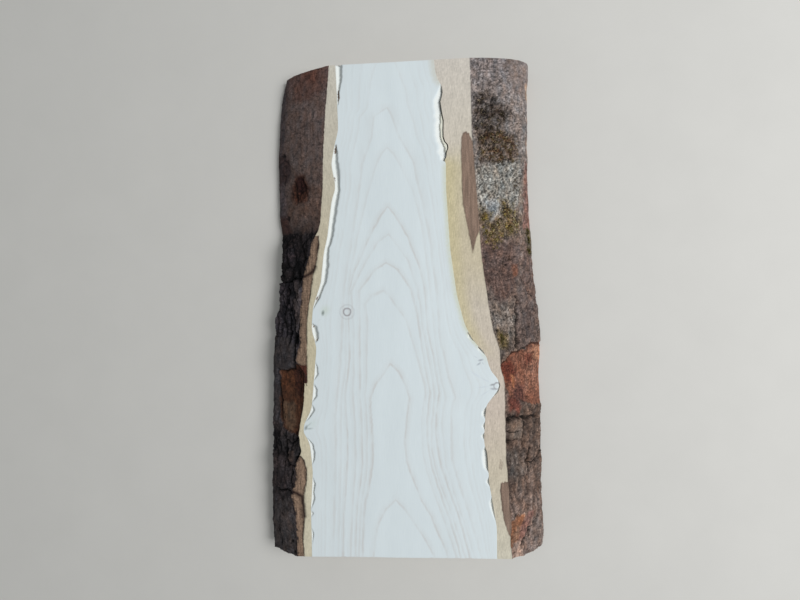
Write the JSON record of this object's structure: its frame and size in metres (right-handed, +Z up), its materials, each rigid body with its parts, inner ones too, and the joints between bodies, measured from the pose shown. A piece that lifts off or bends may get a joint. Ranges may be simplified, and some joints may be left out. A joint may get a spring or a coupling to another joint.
{
  "type": "maple wood block",
  "caption": "Flat sawn slab of pale maple with square ends and the tree's bark left along both long edges, for use as a board, base or carving blank.",
  "frame": {"origin": "under the middle of the bounding box, on the plane that the block rests on", "axes": "+Y along the grain, towards the narrower end of the top face; +X across the block; +Z up, out of the sawn top face"},
  "size_m": [0.2598, 0.45, 0.03],
  "materials": {
    "wood": "planed, unfinished pale maple with faint cathedral grain",
    "bark_left": "cream inner bark at the joint, then dark red-brown to black scaly outer bark",
    "bark_right": "cream inner bark at the joint, then grey-brown outer bark with lichen and moss"
  },
  "bodies": {
    "root": {"wood_block": "wood", "bark_left": "bark_left", "bark_right": "bark_right"}
  },
  "joints": []
}
